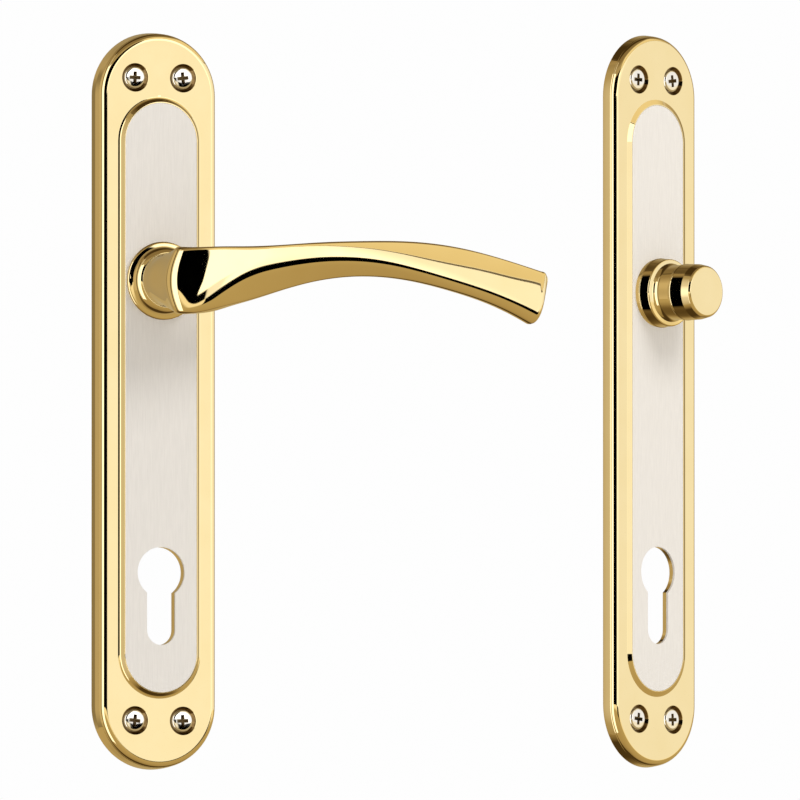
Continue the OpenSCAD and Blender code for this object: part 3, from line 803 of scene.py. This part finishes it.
def return_spring():
    """Torsion spring of round wire with a leg bent up and a leg bent down."""
    low, high = flat_box(LEVER_HALF, "return_spring")
    wire_r, coil_r = 0.5, 13.3
    coil_low, coil_high = 4.35, 6.05
    path = [Vector((0, coil_r, low[2]))]
    steps = 150
    for k in range(steps + 1):
        swing = math.radians(90 - 540 * k / steps)
        path.append(Vector((coil_r * math.cos(swing), coil_r * math.sin(swing),
                            coil_low + (coil_high - coil_low) * k / steps)))
    path.append(Vector((0, -coil_r, high[2])))
    rings = []
    across = Vector((1, 0, 0))
    for i, here in enumerate(path):
        ahead = (path[min(i + 1, len(path) - 1)] - path[max(i - 1, 0)]).normalized()
        across = (across - ahead * across.dot(ahead)).normalized()
        up = ahead.cross(across)
        rings.append([here + (across * math.cos(a) + up * math.sin(a)) * wire_r
                      for a in np.linspace(0, 2 * math.pi, 13)[:-1]])
    body = loft(rings)
    finished(body, LEVER_HALF, "return_spring", materials["spring_steel"], 60)


return_spring()
for node, obj in cad.items():
    if not obj.hide_render:
        obj.data.materials.clear()
        obj.data.materials.append(materials[slots[node]])
        obj.visible_glossy = False

# ---------- studio ----------


def shade(tree, operation, *values):
    """Math node on sockets or numbers."""
    node = tree.nodes.new("ShaderNodeMath")
    node.operation = operation
    for socket, value in zip(node.inputs, values):
        if isinstance(value, (int, float)):
            socket.default_value = value
        else:
            tree.links.new(value, socket)
    return node.outputs[0]


def product(tree, *values):
    """All the values multiplied."""
    whole = values[0]
    for value in values[1:]:
        whole = shade(tree, "MULTIPLY", whole, value)
    return whole


def past(tree, value, edge, width):
    """0 below an edge and 1 above it, with a soft change over a width."""
    share = shade(tree, "DIVIDE", shade(tree, "SUBTRACT", value, edge), width)
    return shade(tree, "MAXIMUM", shade(tree, "MINIMUM", share, 1), 0)


def short_of(tree, value, edge, width):
    """1 below an edge and 0 above it, with a soft change over a width."""
    return shade(tree, "SUBTRACT", 1, past(tree, value, edge, width))


def warm(tone):
    """Colour of a brightness: the darker surroundings are brown and the brighter ones white."""
    share = min(max((tone - 0.36) / 0.2, 0), 1)
    return tone, tone * (0.80 + 0.20 * share), tone * (0.46 + 0.54 * share)


def ramp(tree, value, low, high, stops):
    """Colour ramp over a range, with stops of (place, brightness or colour) from end to end."""
    node = tree.nodes.new("ShaderNodeMapRange")
    node.inputs["From Min"].default_value = low
    node.inputs["From Max"].default_value = high
    tree.links.new(value, node.inputs["Value"])
    colours = tree.nodes.new("ShaderNodeValToRGB")
    elements = colours.color_ramp.elements
    paints = [tone if isinstance(tone, tuple) else warm(tone) for _, tone in stops]
    elements[0].color, elements[1].color = (*paints[0], 1), (*paints[-1], 1)
    for (place, _), paint in zip(stops[1:-1], paints[1:-1]):
        elements.new((place - low) / (high - low)).color = (*paint, 1)
    tree.links.new(node.outputs[0], colours.inputs[0])
    return colours.outputs["Color"]


def blend(tree, share, first, second, kind="MIX"):
    """Colour mix of two sockets or colours."""
    node = tree.nodes.new("ShaderNodeMix")
    node.data_type = "RGBA"
    node.blend_type = kind
    node.clamp_result = False
    for socket, value in ((node.inputs[0], share), (node.inputs[6], first), (node.inputs[7], second)):
        if isinstance(value, tuple):
            socket.default_value = (*value, 1)
        elif isinstance(value, (int, float)):
            socket.default_value = value
        else:
            tree.links.new(value, socket)
    return node.outputs[2]


# Each table runs round the studio in degrees from straight ahead of the lever plate, positive towards the
# lever's tip. Brightness at the height of the horizon:
LEVEL = [(-180, 0.24), (-165, 0.27), (-158, 0.27), (-153.5, 0.155), (-151, 0.165), (-146, 0.37), (-113, 0.37),
         (-110, 0.29), (-96, 0.27), (-84, 0.5), (-82, 1.0), (-48, 1.0), (-47.2, 0.0), (16.2, 0.0), (17, 0.61),
         (25, 0.64), (27.5, 1.0), (29.5, 1.0), (32, 0.78), (36, 0.66), (56, 0.66), (68, 0.57), (95, 0.58),
         (106, 0.32), (125, 0.20), (180, 0.24)]
# brightness or colour higher up
HIGH = [(-180, 0.20), (-100, 0.24), (-60, 0.24), (10, 0.26), (20, (0.56, 0.49, 0.33)),
        (90, (0.54, 0.47, 0.31)), (120, 0.26), (180, 0.20)]
# height in degrees at which the higher band takes over
CHANGE = [(-180, 45), (-83, 60), (-82, 40), (-48, 40), (-47, 32), (16, 32), (17, 24), (100, 24), (106, 50),
          (180, 45)]
# how many degrees below the horizon the floor begins
DEPTH = [(-180, 14), (-113, 20), (-105, 48), (-48, 48), (-47, 0.7), (180, 0.7)]
FLOOR = [(-90, (0.17, 0.125, 0.055)), (-60, (0.26, 0.195, 0.095)), (0, (0.31, 0.245, 0.125))]
WHITE = (1, 1, 1)
BLACK = (0, 0, 0)
BRIGHTEST = 1.62
PLAIN_LIGHT = 0.62
PLAIN_BACKDROP = 0.99


def heights(tree, around, table):
    """Height in degrees read from a table round the studio."""
    stops = [(place, (height / 100,) * 3) for place, height in table]
    return shade(tree, "MULTIPLY", ramp(tree, around, -180, 180, stops), 100)


def studio_sky(tree, around, height, behind):
    """Everything above the floor: bands of light and dark, a white panel by the lever and a dim ceiling."""
    level = ramp(tree, around, -180, 180, LEVEL)
    edge = shade(tree, "ADD", 5, product(tree, past(tree, height, 2.8, 7), 12))
    panel = product(tree, past(tree, around, edge, 0.6), past(tree, height, 2.8, 0.4),
                    short_of(tree, around, 28, 1))
    level = blend(tree, panel, level, WHITE)
    upper = ramp(tree, around, -180, 180, HIGH)
    muted = blend(tree, 1, upper, (0.92, 0.90, 0.86), "MULTIPLY")
    upper = blend(tree, past(tree, height, 26, 18), muted, upper)
    ceiling = blend(tree, behind, (0.15, 0.11, 0.055), (0.07, 0.048, 0.02))
    upper = blend(tree, past(tree, height, 47, 9), upper, ceiling)
    change = heights(tree, around, CHANGE)
    sky = blend(tree, past(tree, height, change, 1.0), level, upper)
    seam = shade(tree, "COMPARE", height, change, 0.5)
    return blend(tree, product(tree, seam, 0.9), sky, (0.03, 0.02, 0.01))


def studio_floor(tree, around, height, behind):
    """The floor: brown, darker behind and underneath, with a glow in front and a black strip by the lever."""
    floor = ramp(tree, height, -90, 0, FLOOR)
    under = product(tree, behind, short_of(tree, height, -55, 20))
    floor = blend(tree, under, floor, (0.08, 0.055, 0.023))
    glow = product(tree, past(tree, height, -8, 4), past(tree, around, -46, 2),
                   short_of(tree, around, 80, 10))
    floor = blend(tree, glow, floor, (0.60, 0.54, 0.40))
    strip = product(tree, past(tree, height, -9, 0.6), past(tree, around, 17, 0.6),
                    short_of(tree, around, 42, 2))
    return blend(tree, strip, floor, BLACK)


def knob_card(tree, x, y, around, slope):
    """Black card bent into a cone about the knob's axis, which draws an even black line along its plate."""
    along_axis = shade(tree, "ADD", product(tree, x, 0.43), product(tree, y, -0.90))
    off_cone = shade(tree, "ABSOLUTE", shade(tree, "ADD", along_axis, 0.58))
    return product(tree, short_of(tree, off_cone, 0.05, 0.008), short_of(tree, slope, 42, 5),
                   past(tree, product(tree, around, -1), 75, 5))


def build_world():
    """Studio as the polished metal sees it; the camera and scattered light see plain white."""
    world = bpy.data.worlds.new("studio")
    scene.world = world
    world.use_nodes = True
    tree = world.node_tree
    tree.nodes.clear()
    place = tree.nodes.new("ShaderNodeTexCoord")
    split = tree.nodes.new("ShaderNodeSeparateXYZ")
    tree.links.new(place.outputs["Generated"], split.inputs[0])
    x, y, z = split.outputs
    to_degrees = 180 / math.pi
    around = product(tree, shade(tree, "ARCTAN2", x, product(tree, y, -1)), to_degrees)
    height = product(tree, shade(tree, "ARCSINE", z), to_degrees)
    slope = shade(tree, "ABSOLUTE", height)
    behind = past(tree, shade(tree, "ABSOLUTE", around), 95, 25)
    sky = studio_sky(tree, around, height, behind)
    floor = studio_floor(tree, around, height, behind)
    depth = product(tree, heights(tree, around, DEPTH), -1)
    seen = blend(tree, past(tree, height, depth, 0.5), floor, sky)
    steep = product(tree, behind, past(tree, slope, 26, 16))
    seen = blend(tree, steep, seen, blend(tree, 1, seen, (0.50, 0.45, 0.36), "MULTIPLY"))
    seen = blend(tree, knob_card(tree, x, y, around, slope), seen, BLACK)
    path = tree.nodes.new("ShaderNodeLightPath")
    glossy = tree.nodes.new("ShaderNodeBackground")
    glossy.inputs["Strength"].default_value = BRIGHTEST
    tree.links.new(seen, glossy.inputs["Color"])
    plain = tree.nodes.new("ShaderNodeBackground")
    plain.inputs["Color"].default_value = (*WHITE, 1)
    extra = product(tree, path.outputs["Is Camera Ray"], PLAIN_BACKDROP - PLAIN_LIGHT)
    tree.links.new(shade(tree, "ADD", PLAIN_LIGHT, extra), plain.inputs["Strength"])
    choose = tree.nodes.new("ShaderNodeMixShader")
    tree.links.new(path.outputs["Is Glossy Ray"], choose.inputs[0])
    tree.links.new(plain.outputs[0], choose.inputs[1])
    tree.links.new(glossy.outputs[0], choose.inputs[2])
    output = tree.nodes.new("ShaderNodeOutputWorld")
    tree.links.new(choose.outputs[0], output.inputs["Surface"])


def build_floor():
    """Plain pale floor below the hanging set, kept out of the polished reflections."""
    low = size_loaded[0]
    bpy.ops.mesh.primitive_plane_add(size=5, location=(0.1, 0, low.z - 0.135))
    floor = bpy.context.object
    floor.name = "floor"
    material, tree, shader = new_material("floor")
    value = noise(tree, 3)
    tree.links.new(tinted(tree, value, (0.84, 0.84, 0.84), (0.88, 0.88, 0.88)), shader.inputs["Base Color"])
    shader.inputs["Roughness"].default_value = 0.7
    floor.data.materials.append(material)
    floor.visible_glossy = False


def build_light():
    """Large soft light high on the right, which gives the collars their soft shadow on the inlays."""
    light = bpy.data.lights.new("softbox", "AREA")
    light.shape = "DISK"
    light.size = 0.7
    light.energy = 13
    obj = bpy.data.objects.new("softbox", light)
    target = Vector((0.1, 0, -0.03))
    obj.location = target + Vector((0.4, -1.2, 1.0))
    obj.rotation_euler = (target - obj.location).to_track_quat("-Z", "Y").to_euler()
    obj.visible_glossy = False
    obj.visible_camera = False
    scene.collection.objects.link(obj)


def build_camera():
    """Long lens from the front left and slightly below, level with the middle of the set."""
    azimuth, elevation, distance, span = math.radians(-22.5), math.radians(-2), 12.0, 0.2721
    low, high = size_loaded
    target = Vector((0.0918, 0, (low.z + high.z) / 2 + 0.0005))
    level = Vector((math.sin(azimuth), -math.cos(azimuth), 0))
    back = level * math.cos(elevation) + Vector((0, 0, math.sin(elevation)))
    camera = bpy.data.objects.new("camera", bpy.data.cameras.new("camera"))
    camera.location = target + back * distance
    camera.rotation_mode = "QUATERNION"
    camera.rotation_quaternion = (-back).to_track_quat("-Z", "Y")
    camera.data.lens = camera.data.sensor_width * distance / span
    camera.data.clip_start = 0.1
    camera.data.clip_end = 50
    scene.collection.objects.link(camera)
    scene.camera = camera


build_world()
build_floor()
build_light()
build_camera()
scene.view_settings.view_transform = "Standard"
